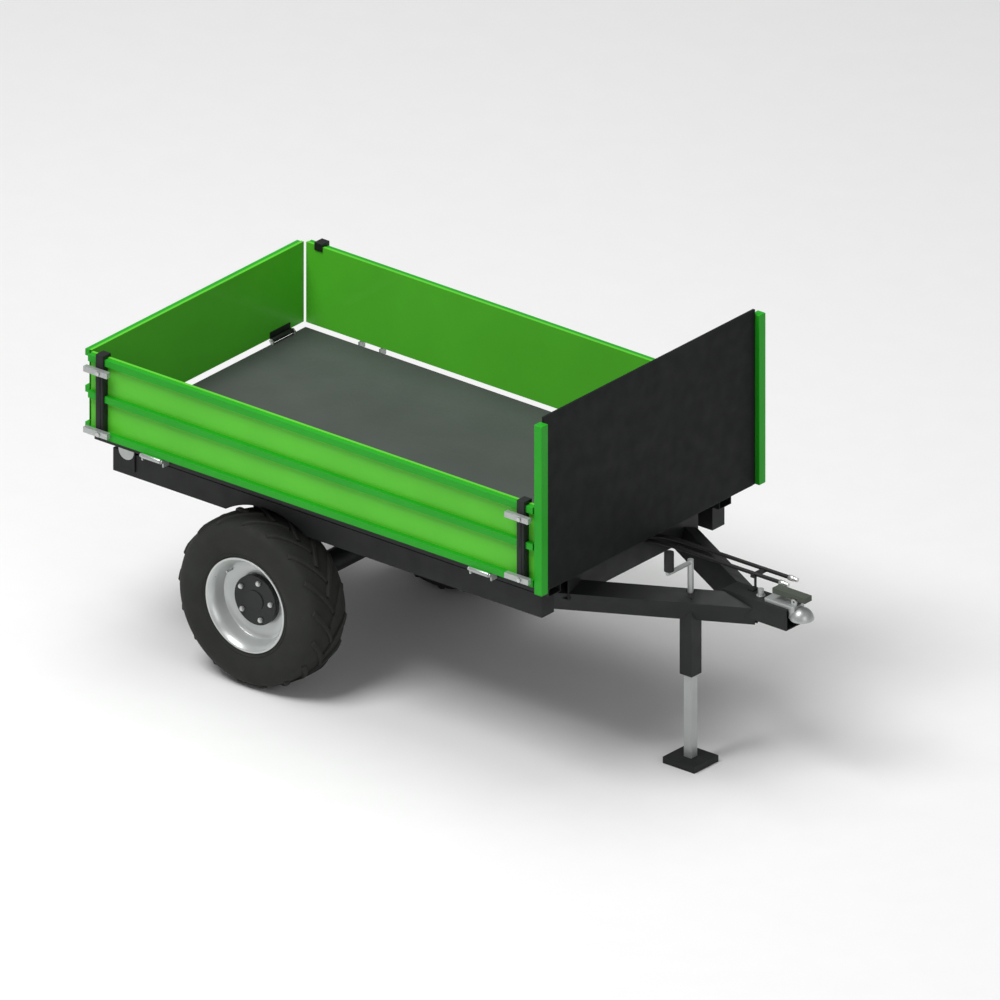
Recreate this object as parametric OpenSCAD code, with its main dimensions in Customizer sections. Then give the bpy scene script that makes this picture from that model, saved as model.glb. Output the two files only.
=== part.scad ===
// Single-axle drop-side tipping trailer with a V drawbar, ball coupling and crank jack.
// Frame: +X forward to the hitch, +Y left, +Z up, millimetres. The origin is on the ground,
// midway between the tailgate and the coupling's nose.

/* [Load bed] */
// Width over the headboard posts
bed_width = 1466; // [1200:2:1800]
// Headboard face to tailgate outer face
bed_length = 2486; // [2000:2:3200]
// Height of the headboard's foot above the ground
bed_height = 887; // [860:1:1000]
// Height of a drop side or tailgate
board_height = 367; // [320:1:500]
// Thickness of a board's flat panel
panel_t = 14; // [10:1:20]
// Depth of a stiffening rib
rib_depth = 22; // [16:1:28]
// Height of a stiffening rib
rib_height = 30; // [24:1:40]
// Height of the headboard panel
headboard_height = 800; // [600:10:1000]
// Side of a square headboard post
head_post = 42; // [36:1:50]
// Depth of the floor's edge frame
floor_t = 18; // [16:1:24]

/* [Chassis] */
// Height of a chassis rail
rail_h = 104; // [90:1:110]
// Width of a chassis rail
rail_w = 80; // [70:1:90]
// Wall of the rails and beams
rail_wall = 5; // [4:0.5:8]
// Width over the chassis rails
chassis_width = 1196; // [1150:2:1220]

/* [Drawbar] */
// Headboard face to the coupling's nose
drawbar_reach = 848; // [800:2:1100]
// Top width of a drawbar beam's section
beam_w = 82; // [70:1:90]
// Side height of a drawbar beam's section
beam_h = 105; // [95:1:115]
// Angle of a beam to the centreline
beam_angle = 28.7; // [27:0.1:31]
// Roll of a beam's section about its own length
beam_roll = 25; // [15:1:30]
// Side of the square coupling tube
coupling_side = 95; // [85:1:105]

/* [Wheels] */
// Outer diameter of a tyre
tyre_d = 760; // [700:2:800]
// Width of a tyre
tyre_w = 264; // [220:2:280]
// Diameter of the rim's flange
rim_d = 422; // [400:2:440]
// Distance between the wheels' middle planes
track = 1242; // [1230:2:1300]
// Headboard face to the axle
axle_setback = 1592; // [1500:2:1700]
// Diameter of a stub axle
stub_d = 50; // [40:1:60]

/* [Jack] */
// Side of the jack's square outer tube
jack_side = 65; // [60:1:70]
// Side of the jack's square inner leg
leg_side = 40; // [34:1:46]
// Length of the crank's arm
crank_reach = 141; // [110:1:150]

/* [Tipping ram] */
// Outer diameter of the ram's barrel
barrel_d = 110; // [104:2:130]
// Wall of each tube of the ram
ram_wall = 6; // [5:0.5:8]

/* [Latches] */
// Length of a latch bar
latch_len = 128; // [110:1:140]
// Height of a latch bar
latch_h = 25; // [20:1:30]

/* [Hidden] */
$fn = 64;

panel_green = [0.35, 0.74, 0.23];
post_green = [0.18, 0.61, 0.18];
dark = [0.12, 0.13, 0.13];
floor_grey = [0.30, 0.32, 0.30];
silver = [0.75, 0.76, 0.76];
rubber = [0.10, 0.10, 0.10];

half_w = bed_width / 2;
head_x = (bed_length - drawbar_reach) / 2;
tail_x = head_x - bed_length;
board_t = panel_t + rib_depth;
board_bottom = bed_height + 28;
board_top = board_bottom + board_height;
board_out = half_w - 1;                 // outer face of a side board's ribs
board_in = board_out - board_t;
board_front = head_x - head_post - 8;
board_rear = tail_x + board_t + 10;
rib_pitch = (board_height - rib_height - 3) / 2;
floor_half = board_in - 5;
floor_rear = board_rear + 1;
floor_front = head_x - 34;              // rear face of the headboard panel
floor_top = bed_height + 8;
floor_bottom = floor_top - floor_t;

rest_gap = 2;                           // between the resting subframe and the rails
rail_top = bed_height - 74;
rail_bottom = rail_top - rail_h;
rail_out = chassis_width / 2;
rail_in = rail_out - rail_w;
rail_front = head_x - 110;
rail_rear = tail_x + 71;
rear_beam_w = 40;
arch_gap = 14;                          // room between a tyre and the rail arched over it
tip_x = tail_x + 153;
tip_z = bed_height - 61;
tip_pin_d = 24;
ear_t = 8;
lug_t = 14;
run = 0.05;                             // radial clearance of running fits

axle_x = head_x - axle_setback;
axle_z = tyre_d / 2;
axle_d = 100;
sill_out = (track - tyre_w) / 2 - 9;     // outer face of an inner sill, clear of the tyre
sill_in = sill_out - 60;

tube_top = bed_height - 87;
tube_front = head_x + drawbar_reach - 96;
tube_rear = tube_front - 344;
beam_end = tube_front - 180;
beam_top_out = tube_top - 43;           // height of a beam's outer top edge

jack_x = head_x + 299;
jack_y = -123;
jack_top = tube_top - 31;
jack_bottom = bed_height - 480;
foot_t = 29;
crank_top = bed_height + 39;
screw_d = 26;

ram_x = tip_x + 1083;
trunnion_z = rail_top - 54;
barrel_r = barrel_d / 2;
stage1_r = barrel_r - ram_wall - run;
stage2_r = stage1_r - ram_wall - run;
rod_r = stage2_r - ram_wall - run;
barrel_top = trunnion_z + 28;
barrel_bottom = barrel_top - 320;
ram_ball_z = floor_bottom - 28;
cradle_y = barrel_r + 14;
cradle_arm = barrel_r + 50;
cradle_rear = ram_x - cradle_arm - 60;
trunnion_r = 16;

post_front_x = head_x - 108;            // middle of a front corner post
post_rear_x = tail_x + 115;
post_w = 41;
post_proud = 9;                         // how far a corner post stands proud of the ribs
latch_pivot = 12;                       // pivot ahead of the post's middle
latch_t = 23;
latch_y = board_out + post_proud;       // inner face of a latch bar
latch_upper = bed_height + 338;
latch_lower = bed_height + 60;
latch_bolt_d = 12;

side_hinge_y = board_out + 2;
side_hinge_z = board_bottom - 11;
tail_hinge_x = tail_x + board_t + 12;
tail_hinge_z = board_bottom - 4;
gate_ear_ys = [-floor_half + 80, -floor_half + 222];
gate_ear_front = 14;
knuckle_d = 22;
hinge_pin_d = 10;
side_hinge_xs = [board_front - 283, board_rear + 344];

hose_d = 17;
hose_ys = [36, 98];
hose_end = 648;
// Route of a hose, from the ram's cradle to its quick coupler, as x ahead of the headboard face
// and z above the bed's foot
hose_route = [[-1085, -112], [-900, -112], [-600, -112], [-400, -110], [-330, -104], [-270, -88],
    [-220, -67], [-180, -55], [-140, -51], [-90, -42], [-60, -36], [-30, -30], [0, -26],
    [50, -23], [100, -21], [300, -19], [500, -18], [hose_end, -17]];
hose_sides = 12;

module slab(x, y, z) {
    translate([min(x), min(y), min(z)])
        cube([max(x) - min(x), max(y) - min(y), max(z) - min(z)]);
}

module rod_y(d, y0, y1) {
    translate([0, min(y0, y1), 0]) rotate([-90, 0, 0]) cylinder(d = d, h = abs(y1 - y0));
}

module both_sides() {
    children();
    mirror([0, 1, 0]) children();
}

// ---- chassis ----
module rail_shape() {
    difference() {
        slab([rail_rear, rail_front], [-rail_out, -rail_in], [rail_bottom, rail_top]);
        difference() {
            slab([rail_rear - 1, rail_front + 1], [-rail_out + rail_wall, -rail_in - rail_wall],
                 [rail_bottom + rail_wall, rail_top - rail_wall]);
            wheel_arch(rail_wall);
        }
        wheel_arch(0);
    }
    end_plate(rail_front - rail_wall);
    end_plate(rail_rear);
}

// Room over a tyre where it stands up into the rail
module wheel_arch(lining) {
    translate([axle_x, 0, axle_z])
        rod_y(tyre_d + 2 * (arch_gap + lining), -rail_out - 1, -rail_in + 1);
}

module end_plate(x) {
    slab([x, x + rail_wall], [-rail_out, -rail_in], [rail_bottom, rail_top]);
}

module rail_right() { color(dark) rail_shape(); }
module rail_left() { color(dark) mirror([0, 1, 0]) rail_shape(); }

// Envelope of the right drawbar beam: a box rolled about its outer top edge
module beam_body(inset, x_margin) {
    edge_y = -coupling_side / 2;
    translate([beam_end, edge_y, beam_top_out])
        rotate([0, 0, beam_angle])
        rotate([beam_roll, 0, 0])
        translate([-2000, inset, -beam_h + inset])
        cube([2000 + x_margin, beam_w - 2 * inset, beam_h - 2 * inset]);
}

module beam_limits() {
    slab([head_x - 900, tube_front], [-rail_in, -0.5], [0, bed_height]);
}

module coupling_envelope() {
    slab([tube_rear, tube_front], [-coupling_side / 2, coupling_side / 2],
         [tube_top - coupling_side, tube_top]);
}

module jack_envelope(side) {
    slab([jack_x - side / 2, jack_x + side / 2], [jack_y - side / 2, jack_y + side / 2],
         [jack_bottom, jack_top]);
}

module beam_shape() {
    difference() {
        intersection() {
            beam_body(0, 0);
            beam_limits();
        }
        beam_body(rail_wall, 1);
        coupling_envelope();
    }
}

module drawbar_beam_right() {
    color(dark) difference() {
        beam_shape();
        jack_envelope(jack_side);
        translate([jack_x, jack_y, jack_top - 1]) cylinder(d = screw_d + 6, h = 200);
    }
}

module drawbar_beam_left() { color(dark) mirror([0, 1, 0]) beam_shape(); }

module coupling_tube() {
    wall = 6;
    color(dark) {
        difference() {
            coupling_envelope();
            slab([tube_rear + wall, tube_front + 1],
                 [-coupling_side / 2 + wall, coupling_side / 2 - wall],
                 [tube_top - coupling_side + wall, tube_top - wall]);
        }
    }
}

module cross_beam_front() {
    color(dark) difference() {
        slab([rail_front - 60, rail_front], [-425, 425], [rail_bottom + 17, rail_top + 9]);
        slab([rail_front - 55, rail_front - 5], [-426, 426], [rail_bottom + 22, rail_top + 4]);
        beam_body(0, 0);
        mirror([0, 1, 0]) beam_body(0, 0);
    }
}

module cross_beam_rear() {
    color(dark) difference() {
        slab([rail_rear, rail_rear + rear_beam_w], [-rail_in, rail_in],
             [rail_bottom, rail_top - 4]);
        slab([rail_rear + 5, rail_rear + rear_beam_w - 5], [-rail_in - 1, rail_in + 1],
             [rail_bottom + 5, rail_top - 9]);
    }
}

// Inner members that carry the axle between the tyres
module inner_sills() {
    wall = 5;
    color(dark) both_sides() difference() {
        slab([rail_rear + rear_beam_w, cradle_rear], [-sill_out, -sill_in],
             [rail_bottom, rail_top - 4]);
        slab([rail_rear + rear_beam_w + wall, cradle_rear - wall],
             [-sill_out + wall, -sill_in - wall], [rail_bottom + wall, rail_top - 4 - wall]);
    }
}

module ram_cradle() {
    color(dark) {
        for (s = [-1, 1]) difference() {
            slab([ram_x + s * cradle_arm, ram_x + s * (cradle_arm + 60)], [-rail_in, rail_in],
                 [rail_bottom, rail_top - 4]);
            slab([ram_x + s * (cradle_arm + 5), ram_x + s * (cradle_arm + 55)],
                 [-rail_in - 1, rail_in + 1], [rail_bottom + 5, rail_top - 9]);
        }
        for (s = [-1, 1]) difference() {
            slab([ram_x - cradle_arm, ram_x + cradle_arm], [s * cradle_y, s * (cradle_y + 14)],
                 [rail_bottom, rail_top - 4]);
            translate([ram_x, 0, trunnion_z])
                rod_y(2 * (trunnion_r + run), -cradle_y - 20, cradle_y + 20);
        }
    }
}

module axle_hangers() {
    plate = 8;
    top_half = 172;
    foot_half = 60;
    color(dark) both_sides() for (y = [-sill_out, -sill_in - plate])
        translate([axle_x, y + plate, 0]) rotate([90, 0, 0]) linear_extrude(plate) difference() {
            polygon([[-foot_half, axle_z - 10], [foot_half, axle_z - 10], [top_half, rail_bottom],
                     [-top_half, rail_bottom]]);
            translate([0, axle_z]) circle(d = axle_d + 0.4);
        }
}

module axle_beam() {
    color(dark) translate([axle_x, 0, axle_z]) {
        rod_y(axle_d, -track / 2 + hub_back + 6, track / 2 - hub_back - 6);
        rod_y(stub_d, -track / 2 - stub_reach, track / 2 + stub_reach);
    }
}

module tip_ears() {
    color(dark) both_sides() for (y = [-rail_out - ear_t, -rail_in])
        difference() {
            union() {
                slab([tip_x - 40, tip_x + 40], [y, y + ear_t], [rail_bottom + 25, tip_z]);
                translate([tip_x, 0, tip_z]) rod_y(80, y, y + ear_t);
            }
            translate([tip_x, 0, tip_z]) rod_y(tip_pin_d + 2 * run, y - 1, y + ear_t + 1);
        }
}

module tip_pins() {
    lug_end = -rail_in + ear_t + 2 + lug_t + 6;
    color(silver) both_sides() translate([tip_x, 0, tip_z]) {
        rod_y(tip_pin_d, -rail_out - ear_t - 5, lug_end);
        rod_y(82, -rail_out - ear_t - 6, -rail_out - ear_t);
    }
}

// ---- coupling ----
head_ball_r = 51;
handle_x = tube_front + 18;
handle_z = tube_top + 35;
module coupling_body() {
    nose_x = head_x + drawbar_reach - head_ball_r;
    nose_z = tube_top - 41;
    body_top = tube_top + 17;
    color(silver) {
        slab([tube_front - 129, tube_front + 30], [-33, 33], [tube_top, body_top]);
        slab([tube_front, tube_front + 30], [-33, 33], [nose_z, tube_top + 1]);
        difference() {
            translate([nose_x, 0, nose_z]) intersection() {
                sphere(r = head_ball_r);
                slab([-head_ball_r, head_ball_r], [-head_ball_r, head_ball_r], [0, head_ball_r]);
            }
            translate([nose_x, 0, nose_z - 1]) sphere(d = 52);
        }
        for (y = [-22, 14]) difference() {
            union() {
                slab([handle_x - 12, handle_x + 12], [y, y + 8], [body_top - 1, handle_z]);
                translate([handle_x, 0, handle_z]) rod_y(24, y, y + 8);
            }
            translate([handle_x, 0, handle_z]) rod_y(10 + 2 * run, y - 1, y + 9);
        }
    }
}

module coupling_bolt() {
    color(silver) translate([tube_front - 176, 0, tube_top]) {
        cylinder(d = 26, h = 32);
        cylinder(d = 38, h = 4);
    }
}

module coupling_handle() {
    low = tube_top + 44;
    color([0.27, 0.29, 0.25]) {
        difference() {
            slab([handle_x - 114, handle_x + 61], [-22.5, 22.5], [low, low + 24]);
            slab([handle_x - 16, handle_x + 16], [-24, -12.5], [low - 1, low + 8]);
            slab([handle_x - 16, handle_x + 16], [12.5, 24], [low - 1, low + 8]);
        }
        slab([handle_x - 9, handle_x + 9], [-12.5, 12.5], [handle_z, low + 1]);
        translate([handle_x, 0, handle_z]) {
            rod_y(18, -12.5, 12.5);
            rod_y(10, -22, 22);
        }
    }
}

// ---- jack ----
module jack_tube() {
    color(dark) difference() {
        jack_envelope(jack_side);
        translate([0, 0, -5]) jack_envelope(leg_side + 0.6);
        translate([jack_x, jack_y, jack_top - 10]) cylinder(d = screw_d + 2 * run, h = 30);
    }
}

module jack_leg() {
    color(silver) difference() {
        slab([jack_x - leg_side / 2, jack_x + leg_side / 2],
             [jack_y - leg_side / 2, jack_y + leg_side / 2], [foot_t, jack_bottom + 48]);
        translate([jack_x, jack_y, foot_t + 12]) cylinder(d = screw_d + 2, h = jack_bottom + 60);
    }
}

module jack_foot() {
    color(dark) slab([jack_x - 85, jack_x + 85], [jack_y - 80, jack_y + 80], [0, foot_t]);
}

module jack_crank() {
    arm_d = 20;
    color(silver) {
        translate([jack_x, jack_y, jack_bottom + 10])
            cylinder(d = screw_d, h = crank_top + 3 - jack_bottom - 10);
        translate([jack_x, 0, crank_top - arm_d / 2])
            rod_y(arm_d, jack_y, jack_y - crank_reach - 12);
        translate([jack_x, jack_y - crank_reach, crank_top - arm_d / 2]) cylinder(d = 14, h = 84);
    }
}

module crank_grip() {
    color(rubber) translate([jack_x, jack_y - crank_reach, crank_top + 1]) difference() {
        cylinder(d = 42, h = 85);
        translate([0, 0, -1]) cylinder(d = 14 + 2 * run, h = 76);
    }
}

// ---- hoses ----
function hose_dir(i) =
    let (a = hose_route[max(i - 1, 0)], b = hose_route[min(i + 1, len(hose_route) - 1)], v = b - a)
    v / norm(v);

module hose(y) {
    n = len(hose_route);
    points = [for (i = [0 : n - 1]) for (k = [0 : hose_sides - 1])
        let (t = hose_dir(i), c = hose_d / 2 * cos(k * 360 / hose_sides),
             q = hose_d / 2 * sin(k * 360 / hose_sides))
        [head_x + hose_route[i][0] - t[1] * c, y + q, bed_height + hose_route[i][1] + t[0] * c]];
    sides = [for (i = [0 : n - 2]) for (k = [0 : hose_sides - 1])
        let (k2 = (k + 1) % hose_sides, a = i * hose_sides, b = a + hose_sides)
        [a + k, a + k2, b + k2, b + k]];
    rear_end = [for (k = [0 : hose_sides - 1]) hose_sides - 1 - k];
    front_end = [for (k = [0 : hose_sides - 1]) (n - 1) * hose_sides + k];
    polyhedron(points, concat(sides, [rear_end, front_end]));
}

module hoses() { color(rubber) for (y = hose_ys) hose(y); }

module hose_holder() {
    hx = tube_front - 240;
    color(dark) {
        slab([hx - 15, hx + 15], [8, coupling_side / 2], [tube_top, tube_top + 5]);
        slab([hx - 4, hx + 4], [38, 46], [tube_top, bed_height - 31]);
        difference() {
            slab([hx - 10, hx + 10], [hose_ys[0] - 16, hose_ys[1] + 16],
                 [bed_height - 32, bed_height - 17]);
            for (y = hose_ys) slab([hx - 11, hx + 11], [y - 8.8, y + 8.8],
                 [bed_height - 27.5, bed_height]);
        }
    }
}

module hose_couplers() {
    color(silver) for (y = hose_ys)
        translate([head_x + hose_end, y, bed_height - 17]) rotate([0, 90, 0]) {
            cylinder(d = 24, h = 26);
            cylinder(d = 18, h = 46);
        }
}

// ---- bed ----
module floor_plate() {
    color(floor_grey)
        difference() {
            slab([floor_rear, floor_front], [-floor_half, floor_half], [floor_top - 3, floor_top]);
            both_sides() for (y = gate_ear_ys)
                slab([floor_rear - 1, tail_hinge_x + gate_ear_front + 0.5], [y - 0.5, y + 8.5],
                     [floor_top - 4, floor_top + 1]);
        }
}

module floor_frame() {
    weld_gap = 0.5;
    color(dark) {
        both_sides() slab([floor_rear, floor_front], [-floor_half, -floor_half + 40],
                          [floor_bottom, floor_top - 3]);
        for (x = [floor_rear, floor_front - 40])
            slab([x, x + 40], [-floor_half + 40 + weld_gap, floor_half - 40 - weld_gap],
                 [floor_bottom, floor_top - 3]);
    }
}

module subframe_rails() {
    color(dark) both_sides() difference() {
        slab([tip_x + 60, floor_front - 40], [-rail_out, -rail_in],
             [rail_top + rest_gap, floor_top - 3]);
        slab([tip_x + 59, floor_front - 39], [-rail_out + 4, -rail_in - 4],
             [rail_top + rest_gap + 4, floor_top - 7]);
    }
}

module bed_cross_members() {
    front = head_x - 330;
    rear = tip_x + 70;
    depth = 40;
    top = floor_top - 3;
    color(dark) for (i = [0 : 4]) {
        x = rear + i * (front - rear) / 4;
        if (abs(x - ram_x) > 70) difference() {
            slab([x - 25, x + 25], [-rail_in, rail_in], [floor_bottom - depth, top]);
            slab([x - 21, x + 21], [-rail_in - 1, rail_in + 1],
                 [floor_bottom - depth + 4, top - 4]);
        }
    }
}

module headboard_panel() {
    color(dark) slab([head_x - 34, head_x - 22], [-half_w + head_post, half_w - head_post],
                     [bed_height, bed_height + headboard_height]);
}

module headboard_posts() {
    color(post_green) both_sides() difference() {
        slab([head_x - head_post, head_x], [-half_w, -half_w + head_post],
             [bed_height, bed_height + headboard_height - 24]);
        slab([head_x - head_post + 4, head_x - 4], [-half_w + 4, -half_w + head_post - 4],
             [bed_height - 1, bed_height + headboard_height - 28]);
    }
}

module tip_lugs() {
    y = -rail_in + ear_t + 2;
    color(dark) both_sides() difference() {
        union() {
            translate([tip_x, 0, tip_z]) rod_y(60, y, y + lug_t);
            slab([tip_x - 30, tip_x + 30], [y, y + lug_t], [tip_z, floor_bottom]);
            slab([tip_x - 30, tip_x + 45], [y, y + lug_t], [floor_bottom - 20, floor_top - 3]);
        }
        translate([tip_x, 0, tip_z]) rod_y(tip_pin_d + 2 * run, y - 1, y + lug_t + 1);
    }
}

module ram_cup() {
    color(dark) {
        translate([ram_x, 0, floor_bottom - 50]) difference() {
            cylinder(r = 46, h = 50 + floor_t - 3);
            translate([0, 0, -1]) cylinder(r = 34, h = 49);
        }
        slab([ram_x - 60, ram_x + 60], [-rail_in, -45], [floor_bottom - 10, floor_bottom]);
        slab([ram_x - 60, ram_x + 60], [45, rail_in], [floor_bottom - 10, floor_bottom]);
    }
}

// Bed-side half of the board hinges: two ears and a pin at each hinge
module hinge_brackets() {
    color(silver) {
        both_sides() for (x = side_hinge_xs) {
            for (e = [x - 60, x + 52]) {
                slab([e, e + 8], [-side_hinge_y + 6, -floor_half],
                     [floor_bottom, side_hinge_z + 5]);
                slab([e, e + 8], [-side_hinge_y, -side_hinge_y + 7],
                     [side_hinge_z - 7, side_hinge_z + 5]);
                translate([e, -side_hinge_y, side_hinge_z]) rotate([0, 90, 0])
                    cylinder(d = 16, h = 8);
            }
            translate([x - 60, -side_hinge_y, side_hinge_z]) rotate([0, 90, 0])
                cylinder(d = hinge_pin_d, h = 120);
        }
        both_sides() for (y = gate_ear_ys) {
            slab([tail_hinge_x - 1, tail_hinge_x + gate_ear_front], [y, y + 8],
                 [floor_top - 3, tail_hinge_z]);
            translate([tail_hinge_x, 0, tail_hinge_z]) rod_y(16, y, y + 8);
        }
        both_sides() translate([tail_hinge_x, 0, tail_hinge_z])
            rod_y(hinge_pin_d, -floor_half + 78, -floor_half + 232);
    }
}

// ---- boards ----
// Section across a board: x outward from the inner face, y up from the foot
module board_section(skin) {
    difference() {
        square([panel_t, board_height]);
        translate([skin, skin]) square([panel_t - 2 * skin, board_height - 2 * skin]);
    }
}

module board_ribs(x0, x1) {
    for (i = [0 : 2])
        translate([x0, -board_out, board_bottom + i * rib_pitch]) difference() {
            cube([x1 - x0, rib_depth, rib_height]);
            translate([2, 2, 2]) cube([x1 - x0 - 4, rib_depth - 1, rib_height - 4]);
        }
}

module knuckle(len) {
    difference() {
        rotate([0, 90, 0]) cylinder(d = knuckle_d, h = len);
        translate([-1, 0, 0]) rotate([0, 90, 0]) cylinder(d = hinge_pin_d + 2 * run, h = len + 2);
    }
}

module side_board_shape() {
    color(panel_green) translate([board_rear, -board_in, board_bottom])
        rotate([90, 0, 90]) mirror([1, 0, 0]) linear_extrude(board_front - board_rear)
        board_section(2);
    color(post_green) {
        board_ribs(board_rear, post_rear_x - post_w / 2);
        board_ribs(post_rear_x + post_w / 2, post_front_x - post_w / 2);
        board_ribs(post_front_x + post_w / 2, board_front);
    }
    color(silver) for (x = side_hinge_xs) translate([x - 51, -side_hinge_y, side_hinge_z]) {
        knuckle(102);
        slab([0, 102], [-3, 3], [knuckle_d / 2 - 2, board_bottom - side_hinge_z]);
    }
}

module side_board_right() { side_board_shape(); }
module side_board_left() { mirror([0, 1, 0]) side_board_shape(); }

module corner_post(x) {
    slab([x - post_w / 2, x + post_w / 2],
         [-board_out - post_proud, -board_in - panel_t], [board_bottom + 2, board_top]);
    slab([x - post_w / 2, x + post_w / 2], [-board_out - post_proud, -board_in + 6],
         [board_top, board_top + 15]);
    slab([x - post_w / 2, x + post_w / 2], [-board_in, -board_in + 6],
         [board_top - 20, board_top + 1]);
    for (z = [latch_lower, latch_upper]) translate([x + latch_pivot, 0, z]) {
        rod_y(latch_bolt_d, -latch_y + 1, -latch_y - latch_t - 2);
        translate([0, -latch_y - latch_t - 8, 0]) rotate([-90, 0, 0]) cylinder(d = 21, h = 7, $fn = 6);
    }
}

module corner_posts_right() { color(dark) { corner_post(post_front_x); corner_post(post_rear_x); } }
module corner_posts_left() { color(dark) mirror([0, 1, 0]) corner_posts_right(); }

module latch(side, x, z) {
    px = x + latch_pivot;
    rear = x - 0.54 * latch_len;
    color(silver) mirror([0, side > 0 ? 1 : 0, 0]) difference() {
        slab([rear, rear + latch_len], [-latch_y - latch_t, -latch_y - 0.3],
             [z - latch_h / 2, z + latch_h / 2]);
        translate([px, 0, z]) rod_y(latch_bolt_d + 2 * run, -latch_y - latch_t - 1, -latch_y + 1);
    }
}

module latch_right_front_upper() { latch(-1, post_front_x, latch_upper); }
module latch_right_front_lower() { latch(-1, post_front_x, latch_lower); }
module latch_right_rear_upper() { latch(-1, post_rear_x, latch_upper); }
module latch_right_rear_lower() { latch(-1, post_rear_x, latch_lower); }
module latch_left_front_upper() { latch(1, post_front_x, latch_upper); }
module latch_left_front_lower() { latch(1, post_front_x, latch_lower); }
module latch_left_rear_upper() { latch(1, post_rear_x, latch_upper); }
module latch_left_rear_lower() { latch(1, post_rear_x, latch_lower); }

gate_half = board_in - 2;
module tailgate() {
    color(panel_green) translate([tail_x + board_t, gate_half, board_bottom])
        rotate([90, 0, 0]) mirror([1, 0, 0]) linear_extrude(2 * gate_half) board_section(2);
    color(post_green) for (i = [0 : 2])
        translate([tail_x, -gate_half, board_bottom + i * rib_pitch]) difference() {
            cube([rib_depth, 2 * gate_half, rib_height]);
            translate([2, 2, 2]) cube([rib_depth - 1, 2 * gate_half - 4, rib_height - 4]);
        }
}

module tailgate_hinges() {
    color(dark) both_sides() translate([tail_hinge_x, -floor_half + 89, tail_hinge_z]) {
        rotate([0, 0, 90]) knuckle(132);
        slab([-12, -knuckle_d / 2 + 3], [0, 132], [4, 34]);
    }
}

// ---- wheels ----
hub_back = 40;                          // a hub's reach inward and outward of the wheel's middle
hub_face = 50;
stub_reach = 36;
module on_axle(side) {
    translate([axle_x, side * track / 2, axle_z]) rotate([side > 0 ? -90 : 90, 0, 0]) children();
}

module tyre_shape() {
    r = tyre_d / 2;
    h = tyre_w / 2;
    bead = rim_d / 2 - 12;
    rotate_extrude($fn = 96)
        polygon([[bead, -h + 34], [bead + 26, -h + 10], [bead + 62, -h], [r - 62, -h],
                 [r - 26, -h + 10], [r - 6, -h + 36], [r, -h + 70], [r, h - 70],
                 [r - 6, h - 36], [r - 26, h - 10], [r - 62, h], [bead + 62, h],
                 [bead + 26, h - 10], [bead, h - 34]]);
}

module rim_shape() {
    r = rim_d / 2;
    h = tyre_w / 2;
    seat = r - 12.3;
    rotate_extrude($fn = 96)
        polygon([[seat, -h + 34], [seat, h - 34], [r, h - 20], [r, h - 14], [r - 8, h - 14],
                 [seat - 10, h - 32], [seat - 24, 40], [seat - 40, 30], [88, 22], [88, 14],
                 [seat - 34, 20], [seat - 30, -10], [seat - 10, -h + 34], [seat - 8, -h + 14],
                 [r, -h + 14], [r, -h + 20]]);
}

module hub_shape() {
    difference() {
        union() {
            translate([0, 0, -hub_back]) cylinder(r = 62, h = hub_back + hub_face);
            translate([0, 0, 10]) cylinder(r = 87.9, h = 20);
            translate([0, 0, 25]) cylinder(r = 110, h = hub_face - 25);
            translate([0, 0, hub_face - 1]) cylinder(r = 44, h = 5);
        }
        translate([0, 0, -hub_back - 1])
            cylinder(d = stub_d + 2 * run, h = hub_back + stub_reach + 3);
    }
}

module bolts_shape() {
    for (i = [0 : 4]) rotate(-14 + i * 72) translate([0, 86, hub_face]) {
        cylinder(d = 24, h = 8, $fn = 6);
        cylinder(d = 15, h = 13);
    }
    rotate(52) translate([0, rim_d / 2 - 46, 37]) cylinder(d = 8, h = 40);
}

module tyre_right() { color(rubber) on_axle(-1) tyre_shape(); }
module tyre_left() { color(rubber) on_axle(1) tyre_shape(); }
module rim_right() { color(silver) on_axle(-1) rim_shape(); }
module rim_left() { color(silver) on_axle(1) rim_shape(); }
module hub_right() { color(dark) on_axle(-1) hub_shape(); }
module hub_left() { color(dark) on_axle(1) hub_shape(); }
module wheel_bolts_right() { color(silver) on_axle(-1) bolts_shape(); }
module wheel_bolts_left() { color(silver) on_axle(1) bolts_shape(); }

// ---- tipping ram ----
module ram_tube(r_out, r_in, z0, z1) {
    translate([ram_x, 0, 0]) difference() {
        translate([0, 0, z0]) cylinder(r = r_out, h = z1 - z0);
        translate([0, 0, z0 + 10]) cylinder(r = r_in, h = z1 - z0);
    }
}

module ram_barrel() {
    color(dark) {
        ram_tube(barrel_r, barrel_r - ram_wall, barrel_bottom, barrel_top);
        for (s = [-1, 1]) translate([ram_x, 0, trunnion_z])
            rod_y(2 * trunnion_r, s * (barrel_r - 3), s * (cradle_y + 12));
    }
}

module ram_stage_1() {
    color(silver) ram_tube(stage1_r, stage1_r - ram_wall, barrel_bottom + 11, barrel_top + 2);
}

module ram_stage_2() {
    color(silver) ram_tube(stage2_r, stage2_r - ram_wall, barrel_bottom + 22, barrel_top + 4);
}

module ram_rod() {
    color(silver) translate([ram_x, 0, 0]) {
        translate([0, 0, barrel_bottom + 33]) cylinder(r = rod_r, h = 292);
        translate([0, 0, barrel_top + 4]) cylinder(r = 12, h = ram_ball_z - barrel_top - 4);
        translate([0, 0, ram_ball_z]) sphere(r = 20);
    }
}

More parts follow.
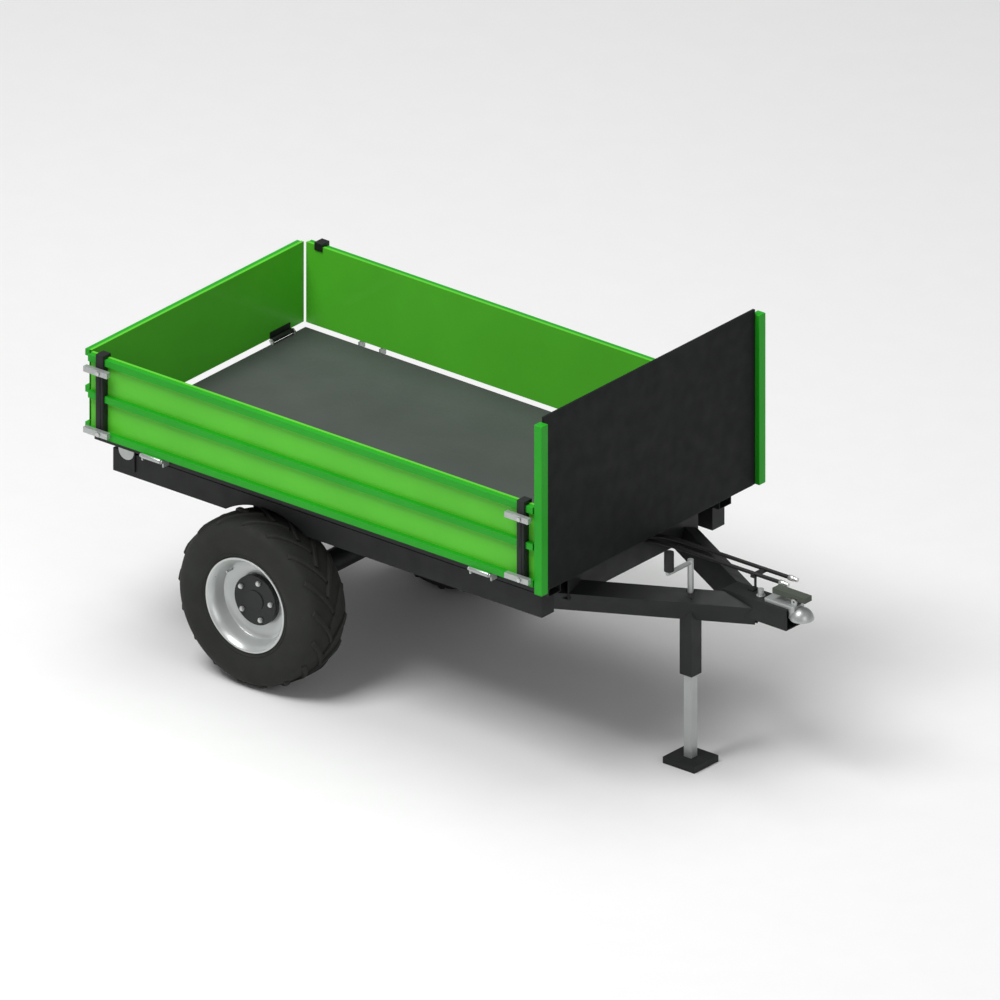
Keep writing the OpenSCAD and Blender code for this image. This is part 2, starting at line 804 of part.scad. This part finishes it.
rail_right();
rail_left();
cross_beam_front();
cross_beam_rear();
ram_cradle();
inner_sills();
axle_hangers();
axle_beam();
tip_ears();
tip_pins();
drawbar_beam_right();
drawbar_beam_left();
coupling_tube();
coupling_body();
coupling_bolt();
coupling_handle();
jack_tube();
jack_leg();
jack_foot();
jack_crank();
crank_grip();
hoses();
hose_holder();
hose_couplers();
floor_plate();
floor_frame();
subframe_rails();
bed_cross_members();
headboard_panel();
headboard_posts();
tip_lugs();
ram_cup();
hinge_brackets();
side_board_right();
side_board_left();
tailgate();
corner_posts_right();
corner_posts_left();
tailgate_hinges();
latch_right_front_upper();
latch_right_front_lower();
latch_right_rear_upper();
latch_right_rear_lower();
latch_left_front_upper();
latch_left_front_lower();
latch_left_rear_upper();
latch_left_rear_lower();
tyre_right();
rim_right();
hub_right();
wheel_bolts_right();
tyre_left();
rim_left();
hub_left();
wheel_bolts_left();
ram_barrel();
ram_stage_1();
ram_stage_2();
ram_rod();
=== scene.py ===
"""Looks of a single-axle drop-side tipping trailer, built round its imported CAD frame."""
import math

import bmesh
import bpy
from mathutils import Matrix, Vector


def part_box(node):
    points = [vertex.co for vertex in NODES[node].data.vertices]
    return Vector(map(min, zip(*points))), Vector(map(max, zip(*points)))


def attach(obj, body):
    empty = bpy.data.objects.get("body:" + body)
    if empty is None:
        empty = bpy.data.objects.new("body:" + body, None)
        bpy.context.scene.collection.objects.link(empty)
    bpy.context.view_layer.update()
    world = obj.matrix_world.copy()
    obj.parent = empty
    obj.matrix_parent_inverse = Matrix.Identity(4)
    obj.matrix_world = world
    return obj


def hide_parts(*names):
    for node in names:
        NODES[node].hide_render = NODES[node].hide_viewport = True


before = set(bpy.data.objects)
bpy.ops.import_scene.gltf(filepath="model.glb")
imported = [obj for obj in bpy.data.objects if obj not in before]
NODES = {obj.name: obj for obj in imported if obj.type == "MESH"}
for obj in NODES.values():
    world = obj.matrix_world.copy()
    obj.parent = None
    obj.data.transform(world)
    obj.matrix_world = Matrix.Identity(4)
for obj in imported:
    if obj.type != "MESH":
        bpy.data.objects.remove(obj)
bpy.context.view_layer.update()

# ---- camera: a parallel view, like the photograph's ----
AZIMUTH, ELEVATION = math.radians(39.4), math.radians(24.9)
METRES_ACROSS = 4.153
FAR = 12.0
# Middle of the picture, left of and above the right headboard post's foot
TARGET_LEFT, TARGET_UP = 0.1732, 0.4028
RIGHT = Vector((math.cos(AZIMUTH), math.sin(AZIMUTH), 0))
BACK = Vector((math.sin(AZIMUTH) * math.cos(ELEVATION),
               -math.cos(AZIMUTH) * math.cos(ELEVATION), math.sin(ELEVATION)))
UP = BACK.cross(RIGHT)


def make_camera():
    low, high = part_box("headboard_posts")
    post_foot = Vector((high.x, low.y, low.z))
    target = post_foot - RIGHT * TARGET_LEFT + UP * TARGET_UP
    data = bpy.data.cameras.new("camera")
    data.type = "ORTHO"
    data.ortho_scale = METRES_ACROSS
    data.clip_end = 100
    camera = bpy.data.objects.new("camera", data)
    bpy.context.scene.collection.objects.link(camera)
    camera.location = target + BACK * FAR
    camera.rotation_euler = BACK.to_track_quat("Z", "Y").to_euler()
    bpy.context.scene.camera = camera


make_camera()


# ---- materials ----
GLOSS_SPREAD = 0.07


def new_material(name, color, roughness, metallic=0.0):
    mat = bpy.data.materials.new(name)
    mat.use_nodes = True
    shader = mat.node_tree.nodes["Principled BSDF"]
    shader.inputs["Base Color"].default_value = (*color, 1)
    shader.inputs["Roughness"].default_value = roughness
    shader.inputs["Metallic"].default_value = metallic
    return mat, shader


def noise(mat, scale, detail=4.0, stretch=(1, 1, 1)):
    tree = mat.node_tree
    coords = tree.nodes.new("ShaderNodeTexCoord")
    mapping = tree.nodes.new("ShaderNodeMapping")
    mapping.inputs["Scale"].default_value = stretch
    tex = tree.nodes.new("ShaderNodeTexNoise")
    tex.inputs["Scale"].default_value = scale
    tex.inputs["Detail"].default_value = detail
    tree.links.new(coords.outputs["Object"], mapping.inputs["Vector"])
    tree.links.new(mapping.outputs["Vector"], tex.inputs["Vector"])
    return tex.outputs["Fac"]


def ramp(mat, source, stops):
    node = mat.node_tree.nodes.new("ShaderNodeValToRGB")
    while len(node.color_ramp.elements) < len(stops):
        node.color_ramp.elements.new(0.5)
    for element, (place, color) in zip(node.color_ramp.elements, stops):
        element.position = place
        element.color = (*color, 1)
    mat.node_tree.links.new(source, node.inputs["Fac"])
    return node.outputs["Color"]


def bump(mat, shader, source, strength, distance):
    node = mat.node_tree.nodes.new("ShaderNodeBump")
    node.inputs["Strength"].default_value = strength
    node.inputs["Distance"].default_value = distance
    mat.node_tree.links.new(source, node.inputs["Height"])
    mat.node_tree.links.new(node.outputs["Normal"], shader.inputs["Normal"])


def shade(color, factor):
    return tuple(min(1.0, c * factor) for c in color)


def surface(name, color, roughness, metallic=0.0, variation=0.06, grain=60.0, bumpy=0.08,
            stretch=(1, 1, 1), depth=0.0004, coat=0.0, specular=0.5):
    """A finish with slow colour variation, uneven gloss and fine surface relief."""
    mat, shader = new_material(name, color, roughness, metallic)
    slow = noise(mat, 3.0, 5.0)
    tint = ramp(mat, slow, [(0.3, shade(color, 1 - variation)), (0.55, color),
                            (0.75, shade(color, 1 + variation))])
    mat.node_tree.links.new(tint, shader.inputs["Base Color"])
    gloss = noise(mat, 14.0, 6.0)
    low, high = max(0.05, roughness - GLOSS_SPREAD), min(1.0, roughness + GLOSS_SPREAD)
    uneven = ramp(mat, gloss, [(0.3, (low,) * 3), (0.7, (high,) * 3)])
    mat.node_tree.links.new(uneven, shader.inputs["Roughness"])
    fine = noise(mat, grain, 3.0, stretch)
    bump(mat, shader, fine, bumpy, depth)
    shader.inputs["Coat Weight"].default_value = coat
    shader.inputs["Specular IOR Level"].default_value = specular
    return mat


GREEN = surface("panel_paint", (0.100, 0.54, 0.030), 0.42, grain=220, coat=0.06, specular=0.2)
RIB_GREEN = surface("rib_paint", (0.014, 0.345, 0.012), 0.42, grain=220, coat=0.06,
                    specular=0.2)
DARK = surface("chassis_paint", (0.014, 0.016, 0.015), 0.5, variation=0.15, grain=160,
               specular=0.25)
HEAD_DARK = surface("headboard_paint", (0.009, 0.0105, 0.010), 0.6, variation=0.12, grain=160,
                    specular=0.15)
FLOOR = surface("floor_paint", (0.066, 0.075, 0.069), 0.6, variation=0.10, grain=120, bumpy=0.15,
                specular=0.25)
ZINC = surface("zinc", (0.44, 0.46, 0.45), 0.38, metallic=0.55, variation=0.10, grain=90)
BRUSHED = surface("ground_rod", (0.62, 0.63, 0.64), 0.22, metallic=0.9, variation=0.04,
                  grain=300, stretch=(1, 1, 0.02))
RIM = surface("rim_paint", (0.55, 0.57, 0.56), 0.34, metallic=0.5, variation=0.05, grain=140)
HUB = surface("hub_paint", (0.016, 0.018, 0.017), 0.42, variation=0.12, grain=140, specular=0.3)
RUBBER = surface("tyre_rubber", (0.022, 0.0235, 0.0205), 0.75, variation=0.16, grain=90,
                 bumpy=0.25, depth=0.0008, specular=0.25)
HOSE = surface("hose_cover", (0.012, 0.012, 0.012), 0.55, variation=0.12, grain=500, bumpy=0.4,
               stretch=(0.3, 1, 1), specular=0.3)
OLIVE = surface("handle_grip", (0.060, 0.070, 0.054), 0.55, variation=0.08, grain=260,
                specular=0.3)
GRIP = surface("crank_grip", (0.012, 0.013, 0.012), 0.5, variation=0.10, grain=260, specular=0.3)
BOLT = surface("bolt_zinc", (0.55, 0.56, 0.55), 0.3, metallic=0.7, variation=0.06, grain=240)


# ---- CAD nodes: finish and softened edges ----
WELD = 0.00002
SHARP = math.radians(40)


def finish_node(name, mat, edge=0.0015, segments=2):
    obj = NODES[name]
    obj.data.materials.clear()
    obj.data.materials.append(mat)
    for polygon in obj.data.polygons:
        polygon.material_index = 0
    if edge:
        weld = obj.modifiers.new("weld", "WELD")
        weld.merge_threshold = WELD
        bevel = obj.modifiers.new("edges", "BEVEL")
        bevel.width = edge
        bevel.segments = segments
        bevel.limit_method = "ANGLE"
        bevel.angle_limit = SHARP
        bevel.use_clamp_overlap = True
        bevel.harden_normals = True
    return obj


FINISHES = {
    DARK: ["rail_right", "rail_left", "cross_beam_front", "cross_beam_rear", "ram_cradle",
           "inner_sills", "axle_hangers", "axle_beam", "tip_ears", "drawbar_beam_right",
           "drawbar_beam_left", "coupling_tube", "jack_tube", "jack_foot", "hose_holder",
           "floor_frame", "subframe_rails", "bed_cross_members", "tip_lugs", "ram_cup",
           "tailgate_hinges", "ram_barrel"],
    HEAD_DARK: ["headboard_panel"],
    FLOOR: ["floor_plate"],
    RIB_GREEN: ["headboard_posts"],
    ZINC: ["tip_pins", "coupling_body", "coupling_bolt", "jack_leg", "jack_crank",
           "hinge_brackets"] + [n for n in NODES if n.startswith("latch_")],
    BRUSHED: ["ram_stage_1", "ram_stage_2", "ram_rod"],
    RIM: ["rim_right", "rim_left"],
    HUB: ["hub_right", "hub_left"],
    BOLT: ["wheel_bolts_right", "wheel_bolts_left", "hose_couplers"],
    OLIVE: ["coupling_handle"],
    GRIP: ["crank_grip"],
}
EDGES = {"coupling_handle": (0.009, 5), "crank_grip": (0.005, 3), "jack_crank": (0.003, 3),
         "coupling_body": (0.003, 3), "headboard_posts": (0.003, 3), "floor_plate": (0, 1)}
for material, names in FINISHES.items():
    for node_name in names:
        finish_node(node_name, material, *EDGES.get(node_name, (0.0015, 2)))


def paint_faces(name, mats, choose, edge=0.0015, segments=2):
    """Finishes one node in several paints: choose gives a face centre's place in mats."""
    obj = finish_node(name, mats[0], edge, segments)
    for extra in mats[1:]:
        obj.data.materials.append(extra)
    for polygon in obj.data.polygons:
        polygon.material_index = choose(Vector(polygon.center))
    return obj


# Faces of a board's ribs lie outside its panel, and its hinge knuckles below its foot.
# RIB_FACE is the outer face of the side boards' ribs, across from the centreline.
TINY = 0.0004
gate_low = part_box("tailgate")[0]
board_foot = gate_low.z
RIB_DEPTH = 0.022
RIB_FACE = 0.732
side_rib_y = RIB_FACE - RIB_DEPTH
gate_rib_x = gate_low.x + RIB_DEPTH


def side_choice(p):
    if p.z < board_foot - TINY:
        return 2
    return 1 if abs(p.y) > side_rib_y + TINY else 0


for hand in ("right", "left"):
    paint_faces(f"side_board_{hand}", [GREEN, RIB_GREEN, ZINC], side_choice, 0.0012)
    bolt_y = abs(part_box(f"latch_{hand}_front_upper")[0 if hand == "right" else 1].y) - TINY
    paint_faces(f"corner_posts_{hand}", [DARK, BOLT],
                lambda p, y=bolt_y: 1 if abs(p.y) > y else 0)
paint_faces("tailgate", [GREEN, RIB_GREEN],
            lambda p: 1 if p.x < gate_rib_x - TINY else 0, 0.0012)


# ---- pieces made here ----
def new_piece(name, bm, mat, body, smooth_angle=35):
    mesh = bpy.data.meshes.new(name)
    bmesh.ops.recalc_face_normals(bm, faces=bm.faces)
    bm.to_mesh(mesh)
    bm.free()
    mesh.materials.append(mat)
    obj = bpy.data.objects.new(name, mesh)
    bpy.context.scene.collection.objects.link(obj)
    for polygon in mesh.polygons:
        polygon.use_smooth = True
    mesh.set_sharp_from_angle(angle=math.radians(smooth_angle))
    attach(obj, body)
    return obj


def tyre_profile(r_bead, r_tread, half):
    """Carcass outline from the inner bead over the tread to the outer bead, as (radius, across)."""
    side = [(r_bead, half - 0.036), (r_bead + 0.010, half - 0.020), (r_bead + 0.020, half - 0.016),
            (r_bead + 0.026, half - 0.010), (r_bead + 0.030, half - 0.012),
            (r_bead + 0.050, half - 0.003), (r_bead + 0.075, half),
            (r_tread - 0.055, half - 0.001), (r_tread - 0.032, half - 0.007),
            (r_tread - 0.016, half - 0.017), (r_tread - 0.006, half - 0.033),
            (r_tread - 0.001, half - 0.055)]
    crown = [(r_tread, half - 0.080), (r_tread + 0.001, 0.0)]
    right = [(r, -w) for r, w in side + crown[:1]]
    return right + [crown[1]] + [(r, w) for r, w in reversed(side + crown[:1])]


def on_profile(profile, across):
    """Carcass radius at a distance across the tread, on the tread side of the tyre's widest line."""
    widest = max(range(len(profile)), key=lambda i: profile[i][1])
    first = min(range(len(profile)), key=lambda i: profile[i][1])
    for (r0, w0), (r1, w1) in zip(profile[first:widest], profile[first + 1:widest + 1]):
        if w0 <= across <= w1:
            return r0 + (r1 - r0) * (across - w0) / max(1e-9, w1 - w0)
    return profile[widest][0]


LUGS = 17                     # bars on each side of the tread
LUG_HEIGHT = 0.012
LUG_SWEEP = math.radians(26)
LUG_WIDTH = 0.020
LUG_ROOT = 0.004              # how deep a bar is set into the carcass
LUG_STEPS = 9
LUG_TAPER = 0.72              # a bar's crest width over its root width
LUG_ACROSS, LUG_ALONG = 0.62, 0.7425    # a bar's width shared between across and round the tyre
OVERLAP = 0.008               # how far a bar starts past the tread's middle
SHOULDER = 0.022
CREST = 0.0002                # room between the bars' tops and the tyre's full radius
SEAT_DROP = 0.0122            # from the rim's flange down to its bead seat
AROUND = 144


def add_lug(bm, place, profile, start_angle, side, half, full_radius):
    """One chevron bar, from the tread's middle out over the shoulder."""
    rings = []
    for i in range(LUG_STEPS + 1):
        t = i / LUG_STEPS
        across = side * (-OVERLAP + (half - SHOULDER) * t)
        angle = start_angle - LUG_SWEEP * (t ** 0.85)
        base_r = on_profile(profile, across) - LUG_ROOT
        fade = 1.0 if t < 0.8 else 1.0 - 0.4 * (t - 0.8) / 0.2
        top_r = min(base_r + LUG_ROOT + LUG_HEIGHT * fade, full_radius - CREST)
        width = LUG_WIDTH * (1 + 0.4 * t)
        corners = []
        for r, w in ((base_r, width), (top_r, width * LUG_TAPER)):
            for s in (-0.5, 0.5):
                corners.append(place(r, across + s * side * w * LUG_ACROSS,
                                     angle + s * w * LUG_ALONG / base_r))
        rings.append([bm.verts.new(p) for p in corners])
    for a, b in zip(rings, rings[1:]):
        for i, j in ((0, 2), (2, 3), (3, 1), (1, 0)):
            bm.faces.new((a[i], a[j], b[j], b[i]))
    for ring in (rings[0], rings[-1]):
        bm.faces.new((ring[0], ring[1], ring[3], ring[2]))


def make_tyre(hand, side):
    low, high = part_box(f"tyre_{hand}")
    centre = (low + high) / 2
    half = (high.y - low.y) / 2
    radius = (high.z - low.z) / 2
    rim_low, rim_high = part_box(f"rim_{hand}")
    bead = (rim_high.z - rim_low.z) / 2 - SEAT_DROP
    profile = tyre_profile(bead, radius - LUG_HEIGHT - 0.001, half)

    def place(r, across, angle):
        return centre + Vector((r * math.sin(angle), side * across, r * math.cos(angle)))

    bm = bmesh.new()
    loops = [[bm.verts.new(place(r, w, 2 * math.pi * k / AROUND)) for r, w in profile]
             for k in range(AROUND)]
    count = len(profile)
    for k in range(AROUND):
        a, b = loops[k], loops[(k + 1) % AROUND]
        for i in range(count):
            j = (i + 1) % count
            bm.faces.new((a[i], a[j], b[j], b[i]))
    carcass = new_piece(f"tyre_carcass_{hand}", bm, RUBBER, f"wheel_{hand}", 50)
    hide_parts(f"tyre_{hand}")
    bm = bmesh.new()
    pitch = 2 * math.pi / LUGS
    for k in range(LUGS):
        add_lug(bm, place, profile, k * pitch, 1, half, radius)
        add_lug(bm, place, profile, (k + 0.5) * pitch, -1, half, radius)
    lugs = new_piece(f"tyre_lugs_{hand}", bm, RUBBER, f"wheel_{hand}", 30)
    bevel = lugs.modifiers.new("edges", "BEVEL")
    bevel.width = 0.003
    bevel.segments = 2
    bevel.limit_method = "ANGLE"
    bevel.angle_limit = math.radians(35)


make_tyre("right", -1)
make_tyre("left", 1)
finish_node("hoses", HOSE, 0)


# ---- stage ----
FLOOR_SIZE = 200
FLOOR_DROP = 0.0005           # the stage lies just under the ground plane


def make_stage():
    mat, shader = new_material("pale_floor", (0.84, 0.84, 0.84), 0.95)
    fine = noise(mat, 6.0, 2.0)
    tone = ramp(mat, fine, [(0.3, (0.835, 0.835, 0.835)), (0.7, (0.845, 0.845, 0.845))])
    mat.node_tree.links.new(tone, shader.inputs["Base Color"])
    bpy.ops.mesh.primitive_plane_add(size=FLOOR_SIZE, location=(0, 0, -FLOOR_DROP))
    floor = bpy.context.object
    floor.name = "studio_floor"
    floor.data.materials.append(mat)


AIM_HEIGHT = 0.8


def add_area(name, direction, power, size, distance=16.0):
    data = bpy.data.lights.new(name, "AREA")
    data.energy = power
    data.size = size
    light = bpy.data.objects.new(name, data)
    bpy.context.scene.collection.objects.link(light)
    light.location = Vector(direction).normalized() * distance + Vector((0, 0, AIM_HEIGHT))
    light.rotation_euler = Vector(direction).to_track_quat("Z", "Y").to_euler()


def make_lights():
    world = bpy.data.worlds.new("studio")
    world.use_nodes = True
    background = world.node_tree.nodes["Background"]
    background.inputs["Color"].default_value = (1.0, 1.0, 1.0, 1)
    background.inputs["Strength"].default_value = 0.25
    bpy.context.scene.world = world
    add_area("key", (-0.2, -0.55, 1.0), 1800, 7.0)
    add_area("fill", (1.0, -0.35, 0.4), 480, 9.0)
    add_area("top", (-0.2, 0.1, 1.0), 1080, 10.0)


make_stage()
make_lights()
bpy.context.scene.view_settings.view_transform = "Standard"
